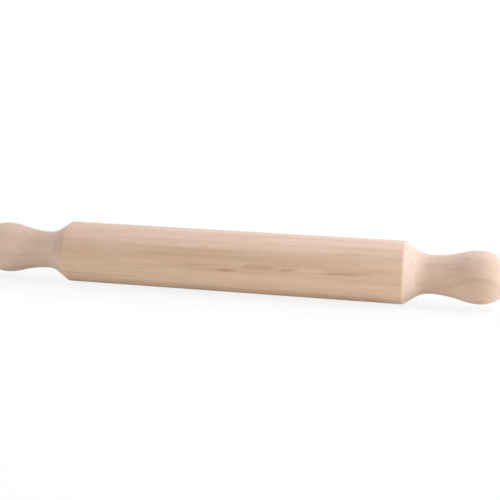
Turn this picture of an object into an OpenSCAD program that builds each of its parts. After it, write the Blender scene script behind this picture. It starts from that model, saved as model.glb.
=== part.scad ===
// Rolling pin with fixed, turned handles, in millimetres.
// The pin's axis lies along X, its origin is at the middle of the barrel, and Z is up.
// Both handles come from one outline, measured outward from the barrel's rim plane.

/* [Barrel] */
// Diameter of the barrel
barrel_d = 45; // [40:1:60]
// Length of the barrel from rim to rim
barrel_l = 250; // [180:5:400]
// Radius of the softened rim at each end of the barrel
rim_r = 3; // [0.5:0.5:6]
// Slope of each shoulder cone, measured from the pin's axis
shoulder_angle = 34; // [22:1:45]

/* [Handles] */
// Reach of each handle beyond the barrel's rim
handle_l = 75; // [65:1:110]
// Diameter of the neck, the thinnest place
neck_d = 27.5; // [22:0.5:33]
// Radius of the hollow between the shoulder cone and the neck
cove_r = 18.5; // [8:0.5:30]
// Diameter of the bulb, the thickest place of the handle
bulb_d = 37.5; // [32:0.5:44]
// Radius of the outward curve where the neck has swelled into the bulb
swell_r = 42; // [20:1:50]
// Length of the bulb's rounded end, from its thickest place to the tip
nose_l = 22.5; // [16:0.5:28]
// How far the bulb's flank turns inward before the domed tip takes over, in degrees
nose_turn = 58; // [45:1:70]

/* [Tenon joint] */
// Diameter of the tenon that is turned on each handle
tenon_d = 16; // [12:0.5:20]
// Length of the tenon, from the joint face to its tip
tenon_l = 38; // [25:1:50]
// Chamfer on the tenon's tip
tenon_chamfer = 1.5; // [0.5:0.25:3]
// Glue clearance round the tenon, on the radius
glue_gap = 0.1; // [0.05:0.05:0.3]
// Width of the groove that lets air and glue out past the tenon
vent_w = 2; // [1:0.25:3]
// Plain length of tenon between the vent groove and the joint face
vent_stop = 5; // [2:0.5:10]
// Depth of socket left free beyond the tenon's tip
socket_spare = 2; // [1:0.5:5]
// Chamfer at the socket's mouth, which holds the squeezed-out glue
mouth_chamfer = 1; // [0.5:0.25:2]
// Point angle of the drill that bores the socket
drill_angle = 118; // [90:1:140]

/* [Hidden] */

barrel_wood = [0.85, 0.73, 0.62];
handle_wood = [0.81, 0.69, 0.59];

// Largest turn between neighbouring points of an arc, in degrees
arc_step = 2.5;
// Steps round the axis
$fn = 120;
// How far a cutting shape runs past the face that it opens
past = 0.5;

barrel_r = barrel_d / 2;
half_l = barrel_l / 2;
neck_r = neck_d / 2;
bulb_r = bulb_d / 2;
tenon_r = tenon_d / 2;
socket_r = tenon_r + glue_gap;

// The joint face lies where the shoulder cone runs into the cove
joint_r = neck_r + cove_r * (1 - cos(shoulder_angle));
joint_at = (barrel_r - joint_r) / tan(shoulder_angle);
neck_at = joint_at + cove_r * sin(shoulder_angle);
rim_start = -rim_r * tan(shoulder_angle / 2);

// The neck swells to the bulb through an inward arc and an outward arc, equal in angle
bulb_at = handle_l - nose_l;
swell_angle = 2 * atan((bulb_r - neck_r) / (bulb_at - neck_at));
waist_r = (bulb_at - neck_at) / sin(swell_angle) - swell_r;

// A flank arc and a tip arc share the rounded end. They meet at nose_turn with one tangent,
// which gives two equations, one along the radius and one along the axis, for their two radii.
nose_share = cos(nose_turn) + sin(nose_turn) - 1;
flank_r = (nose_l * cos(nose_turn) - bulb_r * (1 - sin(nose_turn))) / nose_share;
tip_r = (bulb_r * sin(nose_turn) - nose_l * (1 - cos(nose_turn))) / nose_share;

tenon_tip_at = joint_at - tenon_l;
socket_end_at = tenon_tip_at - socket_spare;
drill_point_l = socket_r / tan(drill_angle / 2);

// Outlines are lists of [radius from the axis, place along it], measured from the rim plane out

// Points of an arc after its first, which the outline already holds.
// Angles are turned from the outward radius towards the handle's tip.
function arc(centre, r, from, to) =
    let (steps = ceil(abs(to - from) / arc_step))
    [for (i = [1 : steps])
        let (a = from + (to - from) * i / steps)
        centre + r * [cos(a), sin(a)]];

// Barrel outline from the rim to the joint face
function shoulder_outline() = concat(
    [[barrel_r, rim_start]],
    arc([barrel_r - rim_r, rim_start], rim_r, 0, shoulder_angle),
    [[joint_r, joint_at]]
);

// Handle outline from the joint face to the tip of the domed end
function grip_outline() = concat(
    [[joint_r, joint_at]],
    arc([neck_r + cove_r, neck_at], cove_r, 180 + shoulder_angle, 180),
    arc([neck_r + waist_r, neck_at], waist_r, 180, 180 - swell_angle),
    arc([bulb_r - swell_r, bulb_at], swell_r, -swell_angle, 0),
    arc([bulb_r - flank_r, bulb_at], flank_r, 0, nose_turn),
    arc([0, handle_l - tip_r], tip_r, nose_turn, 90)
);

// Tenon outline from its tip to the joint face
function tenon_outline() = [
    [0, tenon_tip_at],
    [tenon_r - tenon_chamfer, tenon_tip_at],
    [tenon_r, tenon_tip_at + tenon_chamfer],
    [tenon_r, joint_at]
];

// Blind hole for the tenon: the drill's point, a straight wall and a chamfered mouth
function socket_outline() = [
    [0, socket_end_at - drill_point_l],
    [socket_r, socket_end_at],
    [socket_r, joint_at - mouth_chamfer],
    [socket_r + mouth_chamfer + past, joint_at + past],
    [0, joint_at + past]
];

// Turns a shape from the Z axis onto the right-hand end of the pin, from the rim plane out
module at_right_end() translate([half_l, 0, 0]) rotate([0, 90, 0]) children();

// Repeats a right-hand shape at both ends of the pin
module at_both_ends() {
    children();
    mirror([1, 0, 0]) children();
}

// Groove along the tenon, open at its tip
module vent() {
    at_right_end()
        translate([tenon_r, 0, tenon_tip_at - past])
            cylinder(d = vent_w, h = tenon_l - vent_stop + past);
}

module barrel() {
    right_side = [for (p = shoulder_outline()) [p[0], half_l + p[1]]];
    left_side = [for (i = [len(right_side) - 1 : -1 : 0]) [right_side[i][0], -right_side[i][1]]];
    axis_ends = [[0, half_l + joint_at], [0, -half_l - joint_at]];
    color(barrel_wood)
        difference() {
            rotate([0, 90, 0]) rotate_extrude() polygon(concat(right_side, axis_ends, left_side));
            at_both_ends() at_right_end() rotate_extrude() polygon(socket_outline());
        }
}

module turned_handle() {
    difference() {
        at_right_end() rotate_extrude() polygon(concat(tenon_outline(), grip_outline()));
        vent();
    }
}

module right_handle() {
    color(handle_wood) turned_handle();
}

module left_handle() {
    color(handle_wood) mirror([1, 0, 0]) turned_handle();
}

barrel();
left_handle();
right_handle();
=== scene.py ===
import math
from collections import namedtuple

import bpy
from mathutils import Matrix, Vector


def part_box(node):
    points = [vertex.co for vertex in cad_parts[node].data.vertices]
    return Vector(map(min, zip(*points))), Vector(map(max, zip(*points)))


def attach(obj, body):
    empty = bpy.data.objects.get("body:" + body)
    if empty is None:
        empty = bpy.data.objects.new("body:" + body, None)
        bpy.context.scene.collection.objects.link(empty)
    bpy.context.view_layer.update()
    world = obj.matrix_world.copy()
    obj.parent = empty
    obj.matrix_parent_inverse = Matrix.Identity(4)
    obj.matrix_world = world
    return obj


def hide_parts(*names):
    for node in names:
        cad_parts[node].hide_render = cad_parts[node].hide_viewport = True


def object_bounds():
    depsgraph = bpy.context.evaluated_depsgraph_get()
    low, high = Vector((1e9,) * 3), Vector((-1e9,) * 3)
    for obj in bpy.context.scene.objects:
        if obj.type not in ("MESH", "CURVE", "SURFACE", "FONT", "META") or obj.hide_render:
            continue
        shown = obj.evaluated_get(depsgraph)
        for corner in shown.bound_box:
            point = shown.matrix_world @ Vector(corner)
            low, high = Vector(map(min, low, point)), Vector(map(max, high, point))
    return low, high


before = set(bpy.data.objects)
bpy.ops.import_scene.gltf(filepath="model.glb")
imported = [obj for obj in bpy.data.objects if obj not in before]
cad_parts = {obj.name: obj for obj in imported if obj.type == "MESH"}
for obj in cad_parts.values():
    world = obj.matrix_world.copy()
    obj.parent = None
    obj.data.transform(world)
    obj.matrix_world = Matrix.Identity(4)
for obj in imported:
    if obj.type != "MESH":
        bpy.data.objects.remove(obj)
cad_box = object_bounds()

MM = 0.001
# Numbers of the axes along the pin and upwards
ALONG, UP = 0, 2

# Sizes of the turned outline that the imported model's boxes don't give
RIM_R = 3.0
SHOULDER_ANGLE = math.radians(34)
NECK_R = 13.75
COVE_R = 18.5
SWELL_R = 42.0
NOSE_L = 22.5
NOSE_TURN = math.radians(58)
TENON_R = 8.0
TENON_CHAMFER = 1.5
GLUE_GAP = 0.1
VENT_R = 1.0
VENT_STOP = 5.0
SOCKET_SPARE = 2.0
MOUTH_CHAMFER = 1.0
DRILL_HALF_ANGLE = math.radians(59)
# Length over which the vent groove's end runs out
VENT_RUNOUT = 0.001
# Hairline left by the glued joint, where both edges are eased by the sanding
SEAM_EASE = 0.08

# Fineness of the turned meshes
STEPS_ROUND = 192
ARC_STEP = math.radians(2.0)
BARREL_SECTIONS = 50
CONE_SECTIONS = 8
# Faces that meet at a greater angle than this show an edge
SHARP_ANGLE = math.radians(30)


# Outline of the pin

def span(node, axis):
    """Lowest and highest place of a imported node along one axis."""
    low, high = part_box(node)
    return low[axis] / MM, high[axis] / MM


BARREL_R = span("barrel", UP)[1]
BULB_R = -span("right_handle", UP)[0]
JOINT_X = span("barrel", ALONG)[1]
TENON_TIP_X, HANDLE_TIP_X = span("right_handle", ALONG)

JOINT_R = NECK_R + COVE_R * (1 - math.cos(SHOULDER_ANGLE))
RIM_X = JOINT_X - (BARREL_R - JOINT_R) / math.tan(SHOULDER_ANGLE)
NECK_X = JOINT_X + COVE_R * math.sin(SHOULDER_ANGLE)
BULB_X = HANDLE_TIP_X - NOSE_L
SWELL_ANGLE = 2 * math.atan((BULB_R - NECK_R) / (BULB_X - NECK_X))
WAIST_R = (BULB_X - NECK_X) / math.sin(SWELL_ANGLE) - SWELL_R
NOSE_SHARE = math.cos(NOSE_TURN) + math.sin(NOSE_TURN) - 1
FLANK_R = (NOSE_L * math.cos(NOSE_TURN) - BULB_R * (1 - math.sin(NOSE_TURN))) / NOSE_SHARE
TIP_R = (BULB_R * math.sin(NOSE_TURN) - NOSE_L * (1 - math.cos(NOSE_TURN))) / NOSE_SHARE
SOCKET_R = TENON_R + GLUE_GAP
SOCKET_END_X = TENON_TIP_X - SOCKET_SPARE


def arc(centre_x, centre_r, radius, start, stop):
    """Points of an arc after its first. Angles turn from the outward radius towards +X."""
    steps = math.ceil(abs(stop - start) / ARC_STEP)
    points = []
    for i in range(1, steps + 1):
        a = start + (stop - start) * i / steps
        points.append((centre_x + radius * math.sin(a), centre_r + radius * math.cos(a)))
    return points


def mirrored(outline):
    """The same outline at the pin's other end."""
    return [(-x, r) for x, r in reversed(outline)]


def shoulder_outline():
    """Right-hand end of the barrel's wall, from the straight part out to the joint."""
    arc_x = RIM_X - RIM_R * math.tan(SHOULDER_ANGLE / 2)
    points = [(arc_x, BARREL_R)]
    points += arc(arc_x, BARREL_R - RIM_R, RIM_R, 0, SHOULDER_ANGLE)
    eased_x = JOINT_X - SEAM_EASE
    eased_r = JOINT_R + SEAM_EASE * math.tan(SHOULDER_ANGLE)
    start_x, start_r = points[-1]
    for i in range(1, CONE_SECTIONS + 1):
        share = i / CONE_SECTIONS
        points.append((start_x + (eased_x - start_x) * share, start_r + (eased_r - start_r) * share))
    points.append((JOINT_X, JOINT_R - SEAM_EASE))
    return points


def grip_outline():
    """Handle from the joint to the tip of its domed end."""
    half_turn = math.pi
    cove = arc(NECK_X, NECK_R + COVE_R, COVE_R, half_turn + SHOULDER_ANGLE, half_turn)
    waist = arc(NECK_X, NECK_R + WAIST_R, WAIST_R, half_turn, half_turn - SWELL_ANGLE)
    swell = arc(BULB_X, BULB_R - SWELL_R, SWELL_R, -SWELL_ANGLE, 0)
    flank = arc(BULB_X, BULB_R - FLANK_R, FLANK_R, 0, NOSE_TURN)
    tip = arc(HANDLE_TIP_X - TIP_R, 0, TIP_R, NOSE_TURN, math.pi / 2)
    tip[-1] = (HANDLE_TIP_X, 0)
    eased = (JOINT_X + SEAM_EASE, JOINT_R - SEAM_EASE * math.tan(SHOULDER_ANGLE))
    return [(JOINT_X, JOINT_R - SEAM_EASE), eased] + cove + waist + swell + flank + tip


def tenon_outline():
    """Tenon from the middle of its tip to the handle's joint face."""
    vent_end = JOINT_X - VENT_STOP
    return [
        (TENON_TIP_X, 0),
        (TENON_TIP_X, TENON_R - TENON_CHAMFER),
        (TENON_TIP_X + TENON_CHAMFER, TENON_R),
        (vent_end, TENON_R),
        (vent_end + VENT_RUNOUT, TENON_R),
        (JOINT_X, TENON_R),
    ]


def socket_outline():
    """Socket in the barrel's right-hand end, from the drill's point to the chamfered mouth."""
    return [
        (SOCKET_END_X - SOCKET_R / math.tan(DRILL_HALF_ANGLE), 0),
        (SOCKET_END_X, SOCKET_R),
        (JOINT_X - MOUTH_CHAMFER, SOCKET_R),
        (JOINT_X, SOCKET_R + MOUTH_CHAMFER),
    ]


def barrel_outline():
    """Whole barrel, from the bottom of the left socket round the outside to the right one."""
    right = shoulder_outline()
    straight_end = right[0][0]
    straight = []
    for i in range(1, BARREL_SECTIONS):
        straight.append((straight_end * (2 * i / BARREL_SECTIONS - 1), BARREL_R))
    right_half = right + socket_outline()[::-1]
    return mirrored(right_half) + straight + right_half


# Turned meshes

def vent_cut(x, angle):
    """Greatest radius that the vent groove leaves the right tenon at this place. The groove runs
    along the underside."""
    if x > JOINT_X - VENT_STOP:
        return math.inf
    off = angle + math.pi / 2
    off = math.atan2(math.sin(off), math.cos(off))
    if abs(off) >= math.asin(VENT_R / TENON_R):
        return math.inf
    return TENON_R * math.cos(off) - math.sqrt(VENT_R ** 2 - (TENON_R * math.sin(off)) ** 2)


def turned(name, outline, cut=None):
    """Mesh object of an outline of (x, radius) points turned round the X axis. cut gives the
    greatest radius that is kept at a place, by x and angle."""
    verts = []
    rings = []
    for x, r in outline:
        if r == 0:
            rings.append([len(verts)])
            verts.append((x * MM, 0, 0))
            continue
        rings.append(list(range(len(verts), len(verts) + STEPS_ROUND)))
        for i in range(STEPS_ROUND):
            a = 2 * math.pi * i / STEPS_ROUND
            kept_r = r if cut is None else min(r, cut(x, a))
            verts.append((x * MM, kept_r * math.cos(a) * MM, kept_r * math.sin(a) * MM))
    faces = []
    for near, far in zip(rings, rings[1:]):
        for i in range(STEPS_ROUND):
            j = (i + 1) % STEPS_ROUND
            if len(near) == 1:
                faces.append((near[0], far[j], far[i]))
            elif len(far) == 1:
                faces.append((near[i], near[j], far[0]))
            else:
                faces.append((near[i], near[j], far[j], far[i]))
    mesh = bpy.data.meshes.new(name)
    mesh.from_pydata(verts, [], faces)
    mesh.update()
    mesh.shade_smooth()
    mesh.set_sharp_from_angle(angle=SHARP_ANGLE)
    piece = bpy.data.objects.new(name, mesh)
    bpy.context.scene.collection.objects.link(piece)
    return piece


def make_barrel():
    """Barrel with its two shoulders and sockets."""
    return turned("turned_barrel", barrel_outline())


def make_handle(side):
    """Handle with its tenon. The left one is the right one's mirror image."""
    outline = tenon_outline() + grip_outline()
    if side == "right":
        return turned("turned_right_handle", outline, vent_cut)
    return turned("turned_left_handle", mirrored(outline), lambda x, a: vent_cut(-x, a))


# Node graphs

WHITE = (1.0, 1.0, 1.0, 1.0)
# Mean level of a noise
NOISE_MEAN = 0.5


def linear(colour):
    """A display colour as the renderer's linear light, opaque. The numbers are those of sRGB."""
    light = [c / 12.92 if c <= 0.04045 else ((c + 0.055) / 1.055) ** 2.4 for c in colour]
    return (*light, 1.0)


class Graph:
    """Short calls that add nodes to one material or to the world."""

    def __init__(self, owner):
        owner.use_nodes = True
        self.tree = owner.node_tree
        self.tree.nodes.clear()

    def node(self, kind, inputs, **settings):
        """Adds a node and returns its outputs. inputs are by name or number, and each is the
        output of another node or a plain value."""
        node = self.tree.nodes.new(kind)
        for name, value in settings.items():
            setattr(node, name, value)
        for name, value in inputs.items():
            if isinstance(value, bpy.types.NodeSocket):
                self.tree.links.new(value, node.inputs[name])
            else:
                node.inputs[name].default_value = value
        return node.outputs

    def math(self, operation, *values):
        return self.node("ShaderNodeMath", dict(enumerate(values)), operation=operation)[0]

    def weighted(self, start, parts):
        """start plus each part's value times its weight."""
        total = start
        for value, weight in parts:
            total = self.math("MULTIPLY_ADD", value, weight, total)
        return total

    def coordinate(self, kind):
        return self.node("ShaderNodeTexCoord", {})[kind]

    def split(self, vector):
        return self.node("ShaderNodeSeparateXYZ", {0: vector})

    def join(self, x, y, z):
        return self.node("ShaderNodeCombineXYZ", {0: x, 1: y, 2: z})[0]

    def scaled(self, vector, factor):
        inputs = {0: vector, "Scale": factor}
        return self.node("ShaderNodeVectorMath", inputs, operation="SCALE")[0]

    def length(self, vector):
        return self.node("ShaderNodeVectorMath", {0: vector}, operation="LENGTH")["Value"]

    def noise(self, place, detail, roughness=0.5, dimensions="3D", output="Fac"):
        place_input = "W" if dimensions == "1D" else "Vector"
        inputs = {place_input: place, "Scale": 1.0, "Detail": detail, "Roughness": roughness}
        return self.node("ShaderNodeTexNoise", inputs, noise_dimensions=dimensions)[output]

    def off_mean(self, noise):
        return self.math("SUBTRACT", noise, NOISE_MEAN)

    def ramp(self, value, low, high, to_low=0.0, to_high=1.0):
        """Smooth step from to_low at low to to_high at high."""
        limits = {"From Min": low, "From Max": high, "To Min": to_low, "To Max": to_high}
        inputs = {"Value": value, **limits}
        return self.node("ShaderNodeMapRange", inputs, interpolation_type="SMOOTHSTEP")[0]

    def blend(self, share, a, b):
        """Colour between a at 0 and b at 1."""
        inputs = {0: share, 6: a, 7: b}
        return self.node("ShaderNodeMix", inputs, data_type="RGBA", clamp_factor=True)[2]


# Wood

# Display colours of the early wood, of its rosier patches, which also serve as the painted highlight
# towards the top, and of the late wood and the flecks
BARREL_COLOURS = ((0.906, 0.777, 0.669), (0.912, 0.788, 0.714), (0.700, 0.554, 0.390))
LEFT_COLOURS = ((0.879, 0.768, 0.690), (0.881, 0.761, 0.696), (0.700, 0.550, 0.442))
RIGHT_COLOURS = ((0.862, 0.740, 0.650), (0.874, 0.762, 0.700), (0.680, 0.530, 0.418))
# Pale, whitish colour painted where the surface faces the pin's ends: a painted highlight that
# stands in for the bright light on the cones and domed ends, paler than the wood's own end grain
END_FACE_HIGHLIGHT_COLOUR = (0.861, 0.778, 0.742)
# Levels of the patches at which the rosier wood begins and is full, and how much they rise for each
# millimetre towards the right end and upwards; the rise upwards is a painted highlight that makes
# the top whiter
ROSY_LEVELS = (0.65, 1.0)
ROSY_SLOPE = 0.0005
ROSY_HIGHLIGHT_RISE = 0.025

# How much each figure darkens the early wood, where 1 is the late wood's colour
BASE_DARKNESS = 0.12
FIBRE_DARKNESS = 0.4
STREAK_DARKNESS = 0.62
# Negative, so that the pale streaks and the painted light bands lighten the wood
PALE_STREAK_AND_LIGHT_DARKNESS = -0.3
BARREL_DARKNESS = {"rings": 0.16, "bands": 0.7, "rays": 0.2, "pores": 0.12}
HANDLE_DARKNESS = {"rings": 0.12, "bands": 0.55, "rays": 0.14, "pores": 0.08}
# Painted light from below on the handles: height at which their wood starts to be painted paler,
# height at which it is palest, and by how much
PAINTED_LIGHT_BELOW = (-2.0, -13.0, 0.17)

# How far the grain wanders across the pin, and the lengths along and across it over which it does
WANDER = 2.4
WANDER_ALONG = 70.0
WANDER_ACROSS = 26.0
# Shift of the whole figure along the grain for each unit of a piece's seed
SEED_SHIFT = 100.0
# Width of a year ring, the most that the count of rings runs ahead of even widths, and the depth
# over which that changes
RING_WIDTH = 2.4
RING_UNEVENNESS = 1.6
RING_UNEVEN_OVER = 7.0
# Shares of a year between which the late wood comes, and between which it ends
LATE_WOOD_COMES = (0.3, 0.9)
LATE_WOOD_ENDS = (1.0, 0.93)
# Strength of the late wood in the faintest year
FAINTEST_RING = 0.35
# Sizes of the figures along the grain, round the tree and out from its middle
FIBRE_SIZE = (16.0, 0.28, 0.28)
BAND_SIZE = (90.0, 3.2, 3.2)
PATCH_SIZE = (60.0, 14.0, 14.0)
PORE_SIZE = (1.4, 0.09, 0.09)
RAY_SIZE = (2.6, 0.6, 8.0)
# Levels of the noise between which a pore opens
PORE_LEVELS = (0.58, 0.75)
# Levels of chance between which a ray comes, and distances from its middle at which it starts and
# is full
RAY_CHANCE = (0.3, 0.8)
RAY_EDGE = (0.5, 0.15)

# End grain: how sharply its effect rises as the surface turns to the pin's end, how squarely the
# surface faces it where the painted highlight colour starts and is full, and how much more rings and
# rays stand out
END_SHARPNESS = 4.0
END_HIGHLIGHT_LEVELS = (0.25, 0.8)
END_FIGURE = 2.0

# Roughness of the sanded wood, and what the figures add to it
ROUGHNESS = 0.62
FIBRE_ROUGHNESS = 0.12
RAY_ROUGHNESS = -0.08
END_ROUGHNESS = 0.12
# Depth and strength of the surface's relief, and the height that each figure has in it
RELIEF_DEPTH = 0.06
RELIEF_STRENGTH = 0.35
FIBRE_HEIGHT = 0.5
PORE_HEIGHT = -0.6
RING_HEIGHT = 0.35
RAY_HEIGHT = -0.25
TOOL_MARK_HEIGHT = 0.3
# Width of a mark of the turning tool, and the length round the pin over which it changes
TOOL_MARK_WIDTH = 0.55
TOOL_MARK_REACH = 60.0
# Index of refraction
WOOD_IOR = 1.5
# Light that sanded fibre ends scatter at a glancing view
SHEEN = 0.27
SHEEN_ROUGHNESS = 0.45

# Dark streaks on the front of the barrel, the first a long darker band along it at one height: place
# along the pin, degrees above level, length, width, rise across the grain for each millimetre along
# it, and strength
STREAKS = [
    (0.0, 17.0, 240.0, 19.0, 0.01, 0.42),
    (-116.0, 25.0, 62.0, 18.0, 0.0, 0.27),
    (0.2, -1.2, 19.0, 2.8, 0.04, 0.9),
    (-22.0, 5.4, 46.0, 2.5, 0.075, 0.72),
    (-13.0, 14.0, 24.0, 1.5, 0.04, 0.32),
    (23.0, 9.0, 33.0, 4.6, 0.03, 0.9),
    (18.0, -1.5, 9.0, 2.2, 0.0, 0.4),
    (5.0, 19.0, 6.5, 2.6, 0.0, 0.4),
    (45.0, 6.5, 19.0, 2.2, 0.06, 0.9),
    (84.0, 6.3, 43.0, 2.1, 0.07, 0.88),
    (90.5, 10.8, 16.0, 3.2, 0.06, 0.5),
    (107.0, 14.0, 22.0, 3.6, 0.03, 0.3),
    (93.0, 24.3, 9.5, 1.9, 0.0, 0.65),
    (72.0, 17.5, 34.0, 1.1, 0.06, 0.25),
    (-16.3, 41.5, 5.5, 2.7, 0.0, 0.6),
    (81.5, 40.5, 11.0, 3.0, -0.1, 0.26),
    (92.0, 42.0, 9.0, 3.0, 0.3, 0.22),
    (22.0, 37.0, 13.0, 1.4, 0.0, 0.35),
    (21.0, 49.0, 12.0, 1.4, 0.0, 0.3),
    (-63.5, -8.0, 15.0, 2.2, 0.0, 0.4),
    (-85.0, -3.5, 13.0, 2.6, 0.0, 0.3),
    (-85.0, 23.0, 14.0, 2.2, 0.0, 0.35),
    (-61.0, 27.5, 20.0, 2.0, 0.0, 0.3),
]
# Pale streaks between them, in the same terms. The first two are painted light, not streaks: a long
# band below the level for bounce light from the floor, and one high up for the top's highlight
PALE_STREAKS_AND_LIGHT = [
    # Painted light: pale band along the whole barrel below the level, for bounce light from the
    # floor
    (10.0, -21.0, 280.0, 14.0, 0.0, 0.45),
    # Painted highlight: pale band along the whole barrel high on its front
    (0.0, 50.0, 280.0, 9.0, 0.0, 0.5),
    (-66.0, 6.5, 50.0, 3.8, -0.03, 0.6),
    (61.0, 8.5, 28.0, 3.0, 0.03, 0.8),
    (9.0, 15.0, 12.0, 2.6, 0.0, 0.4),
]
# How far the streaks stray from their height with the grain's wander and in short waves
STREAK_WANDER = 1.5
STREAK_WAVE = 2.2
STREAK_WAVE_SIZE = (9.0, 4.0, 4.0)
# How much the fibres fray a streak, and shares of its half width at which it starts and is full
STREAK_FRAY = 1.2
STREAK_EDGE = (1.25, 0.35)

# Place in the tree that a piece was cut from: along the grain, round the tree's middle and out from
# it, and the level of the grain's wander there
Grain = namedtuple("Grain", "along around out wander")


def solid_place(g):
    """Place in the piece, in millimetres."""
    return g.split(g.scaled(g.coordinate("Object"), 1 / MM))


def grain_place(g, place, pith, tilt, seed):
    """Place in the tree, with the grain's slow wander."""
    x, y, z = place
    wandering = g.join(g.math("MULTIPLY_ADD", x, 1 / WANDER_ALONG, seed),
                       g.math("MULTIPLY", y, 1 / WANDER_ACROSS),
                       g.math("MULTIPLY", z, 1 / WANDER_ACROSS))
    drift_y, drift_z, wander = g.split(g.noise(wandering, detail=1.5, output="Color"))
    off_y = g.math("MULTIPLY_ADD", drift_y, WANDER, g.math("MULTIPLY_ADD", x, -tilt[0], y))
    off_z = g.math("MULTIPLY_ADD", drift_z, WANDER, g.math("MULTIPLY_ADD", x, -tilt[1], z))
    off_y = g.math("SUBTRACT", off_y, pith[0] + WANDER * NOISE_MEAN)
    off_z = g.math("SUBTRACT", off_z, pith[1] + WANDER * NOISE_MEAN)
    out = g.length(g.join(off_y, off_z, 0.0))
    around = g.math("MULTIPLY", g.math("ARCTAN2", off_z, off_y), math.hypot(*pith))
    return Grain(g.math("ADD", x, seed * SEED_SHIFT), around, out, wander)


def stretched(g, grain, size):
    """Coordinates in which a figure of this size is one unit each way."""
    along_size, around_size, out_size = size
    return g.join(g.math("MULTIPLY", grain.along, 1 / along_size),
                  g.math("MULTIPLY", grain.around, 1 / around_size),
                  g.math("MULTIPLY", grain.out, 1 / out_size))


def year_rings(g, grain, seed):
    """Rings that darken slowly and end sharply, each year with its own width and strength."""
    depth = g.math("MULTIPLY_ADD", grain.out, 1 / RING_UNEVEN_OVER, seed)
    uneven = g.math("MULTIPLY", g.noise(depth, detail=1.0, dimensions="1D"), RING_UNEVENNESS)
    ring = g.math("MULTIPLY_ADD", grain.out, 1 / RING_WIDTH, uneven)
    part = g.math("FRACT", ring)
    late = g.math("MULTIPLY", g.ramp(part, *LATE_WOOD_COMES), g.ramp(part, *LATE_WOOD_ENDS))
    year = g.math("ADD", g.math("FLOOR", ring), seed)
    chance = g.node("ShaderNodeTexWhiteNoise", {"W": year}, noise_dimensions="1D")["Value"]
    return g.math("MULTIPLY", late, g.ramp(chance, 0.0, 1.0, FAINTEST_RING, 1.0))


def ray_flecks(g, grain):
    """Rays cut by the surface: short dark spindles where the rings lie flat to it, wide flakes
    where they stand on edge."""
    cells = g.node("ShaderNodeTexVoronoi", {"Vector": stretched(g, grain, RAY_SIZE), "Scale": 1.0})
    there = g.ramp(g.split(cells["Color"])["X"], *RAY_CHANCE)
    return g.math("MULTIPLY", g.ramp(cells["Distance"], *RAY_EDGE), there)


def end_grain_and_highlight_shares(g):
    """How far the surface is end grain: a share that rises late, and the share of the pale colour
    painted on faces towards the pin's ends as a highlight.
    """
    facing_end = g.math("ABSOLUTE", g.split(g.coordinate("Normal"))["X"])
    return g.math("POWER", facing_end, END_SHARPNESS), g.ramp(facing_end, *END_HIGHLIGHT_LEVELS)


def streak_figure(g, place, grain, fibres, streaks):
    """Soft lens-shaped streaks laid on the barrel's front, with edges that the fibres fray. In the
    pale list some are long bands of painted light.
    """
    x, y, z = place
    height = g.math("MULTIPLY", g.math("ARCTAN2", z, g.math("MULTIPLY", y, -1.0)), BARREL_R)
    height = g.math("MULTIPLY_ADD", g.off_mean(grain.wander), STREAK_WANDER, height)
    wave = g.noise(stretched(g, grain, STREAK_WAVE_SIZE), detail=2.0)
    height = g.math("MULTIPLY_ADD", g.off_mean(wave), STREAK_WAVE, height)
    fray = g.math("MULTIPLY", g.off_mean(fibres), STREAK_FRAY)
    total = None
    for at, degrees, length, width, rise, strength in streaks:
        off_x = g.math("SUBTRACT", x, at)
        off_h = g.math("SUBTRACT", height, math.radians(degrees) * BARREL_R)
        off_h = g.math("MULTIPLY_ADD", off_x, -rise, off_h)
        reach = g.length(g.join(g.math("MULTIPLY", off_x, 2 / length),
                                g.math("MULTIPLY", off_h, 2 / width), 0.0))
        mark = g.ramp(g.math("ADD", reach, fray), *STREAK_EDGE, 0.0, strength)
        total = mark if total is None else g.math("MAXIMUM", total, mark)
    return total


def tool_figure(g, place):
    """Faint rings left by the turning tool and the sandpaper."""
    x, y, z = place
    marks = g.join(g.math("MULTIPLY", x, 1 / TOOL_MARK_WIDTH),
                   g.math("MULTIPLY", y, 1 / TOOL_MARK_REACH),
                   g.math("MULTIPLY", z, 1 / TOOL_MARK_REACH))
    return g.noise(marks, detail=2.0)


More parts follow.
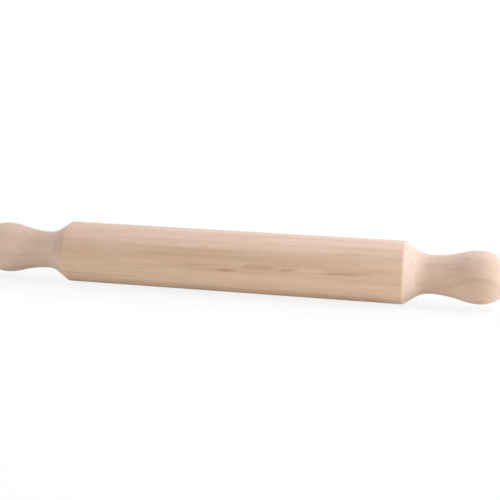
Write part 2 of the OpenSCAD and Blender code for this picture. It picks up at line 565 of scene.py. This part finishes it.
def wood(name, colours, darkness, pith, tilt, seed, streaked=False):
    """Turned beech as a solid texture, so that the sides, the cones and the domed ends show one
    piece of wood. darkness is how much each figure darkens it. pith is where the tree's middle
    lies in the YZ plane, and tilt is how far it leans from the pin's axis, as shares of the
    length. seed gives the piece a figure of its own."""
    material = bpy.data.materials.new(name)
    g = Graph(material)
    place = solid_place(g)
    grain = grain_place(g, place, pith, tilt, seed)

    # On end grain the rings and rays stand out, the bands vanish, and the wood is duller
    end_grain, end_grain_and_highlight_share = end_grain_and_highlight_shares(g)
    end_figure = g.math("MULTIPLY_ADD", end_grain, END_FIGURE, 1.0)
    rings = year_rings(g, grain, seed)
    rays = g.math("MULTIPLY", ray_flecks(g, grain), end_figure)
    fibres = g.noise(stretched(g, grain, FIBRE_SIZE), detail=3.0, roughness=0.6)
    bands = g.noise(stretched(g, grain, BAND_SIZE), detail=3.0, roughness=0.55)
    bands = g.math("MULTIPLY", g.off_mean(bands), g.math("SUBTRACT", 1.0, end_grain_and_highlight_share))
    patches = g.noise(stretched(g, grain, PATCH_SIZE), detail=1.0)
    pores = g.ramp(g.noise(stretched(g, grain, PORE_SIZE), detail=1.0), *PORE_LEVELS)

    figures = [
        (g.math("MULTIPLY", rings, end_figure), darkness["rings"]),
        (g.off_mean(fibres), FIBRE_DARKNESS),
        (bands, darkness["bands"]),
        (rays, darkness["rays"]),
        (pores, darkness["pores"]),
    ]
    if streaked:
        figures.append((streak_figure(g, place, grain, fibres, STREAKS), STREAK_DARKNESS))
        # The pale list also paints light: long pale bands for the floor's bounce light below and the
        # highlight above
        figures.append((streak_figure(g, place, grain, fibres, PALE_STREAKS_AND_LIGHT), PALE_STREAK_AND_LIGHT_DARKNESS))
    else:
        # Painted light: the handles' wood is made paler towards the bottom, standing in for light
        # from below
        painted_light_from, painted_light_full, painted_light_amount = PAINTED_LIGHT_BELOW
        figures.append((g.ramp(place["Z"], painted_light_from, painted_light_full), -painted_light_amount))
    tone = g.weighted(BASE_DARKNESS, figures)

    pale, rosy, deep = [linear(colour) for colour in colours]
    # Painted highlight: the whiter, rosier colour grows towards the top of each piece, where the
    # light falls
    rosy_and_highlight_level = g.weighted(patches, [(place["X"], ROSY_SLOPE), (place["Z"], ROSY_HIGHLIGHT_RISE)])
    ground = g.blend(g.ramp(rosy_and_highlight_level, *ROSY_LEVELS), pale, rosy)
    # Painted highlight: faces towards the pin's ends take a pale, whitish colour for the bright
    # light on the cones and domed ends
    ground = g.blend(end_grain_and_highlight_share, ground, linear(END_FACE_HIGHLIGHT_COLOUR))
    colour = g.blend(tone, ground, deep)

    roughness = g.weighted(ROUGHNESS, [
        (fibres, FIBRE_ROUGHNESS),
        (rays, RAY_ROUGHNESS),
        (end_grain, END_ROUGHNESS),
    ])
    height = g.weighted(0.0, [
        (fibres, FIBRE_HEIGHT),
        (pores, PORE_HEIGHT),
        (rings, RING_HEIGHT),
        (rays, RAY_HEIGHT),
        (tool_figure(g, place), TOOL_MARK_HEIGHT),
    ])
    bump = g.node("ShaderNodeBump", {
        "Strength": RELIEF_STRENGTH,
        "Distance": RELIEF_DEPTH * MM,
        "Height": height,
    })
    surface = g.node("ShaderNodeBsdfPrincipled", {
        "Base Color": colour,
        "Roughness": roughness,
        "Normal": bump[0],
        "IOR": WOOD_IOR,
        "Sheen Weight": SHEEN,
        "Sheen Roughness": SHEEN_ROUGHNESS,
    })
    g.node("ShaderNodeOutputMaterial", {"Surface": surface[0]})
    return material


# Floor and light

# Reach of the floor from the middle of the pin to its sides
FLOOR_REACH_M = 12.0
# Colour of the floor where it shows its own shading, and strength of the white that it shows
# elsewhere, which is a little more than the display's white
FLOOR_COLOUR = (0.84, 0.84, 0.84, 1.0)
FLOOR_WHITE = 1.07
# Share of the floor's own shading, and so of the pin's shadow, that the camera sees near the pin.
# It fades out between two distances from the pin's middle, and the rest is plain white.
FLOOR_SHADE = 0.22
FLOOR_SHADE_FROM_M = 0.3
FLOOR_SHADE_TO_M = 0.8
# The wood mirrors the floor's own shading up to the first distance from the pin's axis, so that its
# underside is as dark as the shadow there, and the plain white from the second distance on
MIRRORED_SHADE_FROM_M = 0.05
MIRRORED_SHADE_TO_M = 0.15
# Strength of the even light from all round
AMBIENT = 0.2
# Colours of the lamps: a little cool, plain and a little warm
DAYLIGHT = (0.94, 1.0, 1.0)
NEUTRAL = (1.0, 1.0, 1.0)
ROOM_LIGHT = (1.0, 0.94, 0.93)
# Lamps: name, place in metres, width in metres, power in watts, colour
LAMPS = [
    ("window", (1.25, -0.08, 0.22), 0.55, 10.6, DAYLIGHT),
    ("right_high", (0.75, -0.1, 1.05), 0.7, 6.6, NEUTRAL),
    ("back_top", (0.1, 0.8, 0.9), 0.7, 6.7, DAYLIGHT),
    ("left", (-1.05, -0.5, 0.1), 0.5, 4.6, ROOM_LIGHT),
    ("front", (0.75, -0.95, 0.05), 0.45, 3.9, NEUTRAL),
]


def backdrop_rays(g):
    """Two shares that are 0 or 1. The first is 1 for rays that show or mirror the backdrop, and 0
    for those by which it lights the pin. The second is 1 only for those that mirror it."""
    path = g.node("ShaderNodeLightPath", {})
    mirroring = g.math("MAXIMUM", path["Is Glossy Ray"], path["Is Transmission Ray"])
    return g.math("MAXIMUM", path["Is Camera Ray"], mirroring), mirroring


def make_floor():
    """Plain floor at the height of the barrel's lowest line. It looks white, with a faint shadow."""
    material = bpy.data.materials.new("white_floor")
    g = Graph(material)
    place = g.coordinate("Object")
    plain = g.ramp(g.length(place), FLOOR_SHADE_FROM_M, FLOOR_SHADE_TO_M, 1 - FLOOR_SHADE, 1.0)
    from_axis = g.math("ABSOLUTE", g.split(place)["Y"])
    close = g.ramp(from_axis, MIRRORED_SHADE_TO_M, MIRRORED_SHADE_FROM_M)
    seen, mirroring = backdrop_rays(g)
    shadow_mirrored = g.math("MULTIPLY", mirroring, close)
    plain = g.math("MULTIPLY", plain, g.math("SUBTRACT", 1.0, shadow_mirrored))
    shaded = g.node("ShaderNodeBsdfDiffuse", {"Color": FLOOR_COLOUR})
    white = g.node("ShaderNodeEmission", {"Strength": FLOOR_WHITE})
    shown = g.node("ShaderNodeMixShader", {
        0: g.math("MULTIPLY", seen, plain),
        1: shaded[0],
        2: white[0],
    })
    g.node("ShaderNodeOutputMaterial", {"Surface": shown[0]})

    low = cad_box[0].z
    r = FLOOR_REACH_M
    mesh = bpy.data.meshes.new("floor")
    mesh.from_pydata([(-r, -r, low), (r, -r, low), (r, r, low), (-r, r, low)], [], [(0, 1, 2, 3)])
    mesh.materials.append(material)
    floor = bpy.data.objects.new("floor", mesh)
    bpy.context.scene.collection.objects.link(floor)


def make_world():
    """Even light from all round, which is plain white to the camera and in reflections."""
    world = bpy.data.worlds.new("studio")
    g = Graph(world)
    seen, _ = backdrop_rays(g)
    strength = g.ramp(seen, 0.0, 1.0, AMBIENT, 1.0)
    background = g.node("ShaderNodeBackground", {"Color": WHITE, "Strength": strength})
    g.node("ShaderNodeOutputWorld", {"Surface": background[0]})
    bpy.context.scene.world = world


def make_lamps():
    """Round lamps that face the middle of the pin and that the camera doesn't see."""
    for name, place, width, power, colour in LAMPS:
        data = bpy.data.lights.new(name, "AREA")
        data.shape = "DISK"
        data.size = width
        data.energy = power
        data.color = colour
        lamp = bpy.data.objects.new(name, data)
        lamp.location = place
        lamp.visible_camera = False
        lamp.rotation_mode = "QUATERNION"
        lamp.rotation_quaternion = Vector(place).to_track_quat("Z", "Y")
        bpy.context.scene.collection.objects.link(lamp)


# Camera

# Photographed view: the direction from the pin to the camera, its distance and its offset from
# the middle of the barrel across the picture
VIEW_AZIMUTH = math.radians(13.008)
VIEW_ELEVATION = math.radians(15.674)
CAMERA_BACK = 737.6
CAMERA_RIGHT = 12.75
CAMERA_UP = 8.32
# Focal length and width of the sensor
LENS = 72.44
SENSOR = 36.0
CLIP_START_M = 0.01
CLIP_END_M = 100


def make_camera():
    """Camera of the photographed view."""
    ca, sa = math.cos(VIEW_AZIMUTH), math.sin(VIEW_AZIMUTH)
    ce, se = math.cos(VIEW_ELEVATION), math.sin(VIEW_ELEVATION)
    right = Vector((ca, sa, 0))
    up = Vector((-sa * se, ca * se, ce))
    back = Vector((sa * ce, -ca * ce, se))
    data = bpy.data.cameras.new("camera")
    data.lens = LENS
    data.sensor_width = SENSOR
    data.clip_start = CLIP_START_M
    data.clip_end = CLIP_END_M
    camera = bpy.data.objects.new("camera", data)
    camera.location = (right * CAMERA_RIGHT + up * CAMERA_UP + back * CAMERA_BACK) * MM
    camera.rotation_mode = "QUATERNION"
    camera.rotation_quaternion = (-back).to_track_quat("-Z", "Y")
    bpy.context.scene.collection.objects.link(camera)
    bpy.context.scene.camera = camera


# The pin, its floor and its light

def finish_piece(piece, node, material):
    """Gives a piece its wood and its body, and hides the imported node that it stands in for."""
    piece.data.materials.append(material)
    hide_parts(node)
    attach(piece, "root")


barrel_beech = wood("barrel_beech", BARREL_COLOURS, BARREL_DARKNESS,
                    pith=(84.0, -7.0), tilt=(0.004, 0.01), seed=3.0, streaked=True)
left_beech = wood("left_handle_beech", LEFT_COLOURS, HANDLE_DARKNESS,
                  pith=(-38.0, 61.0), tilt=(-0.02, 0.015), seed=17.0)
right_beech = wood("right_handle_beech", RIGHT_COLOURS, HANDLE_DARKNESS,
                   pith=(52.0, 40.0), tilt=(0.015, -0.02), seed=29.0)

make_camera()
finish_piece(make_barrel(), "barrel", barrel_beech)
finish_piece(make_handle("left"), "left_handle", left_beech)
finish_piece(make_handle("right"), "right_handle", right_beech)
make_floor()
make_world()
make_lamps()
bpy.context.scene.view_settings.view_transform = "Standard"
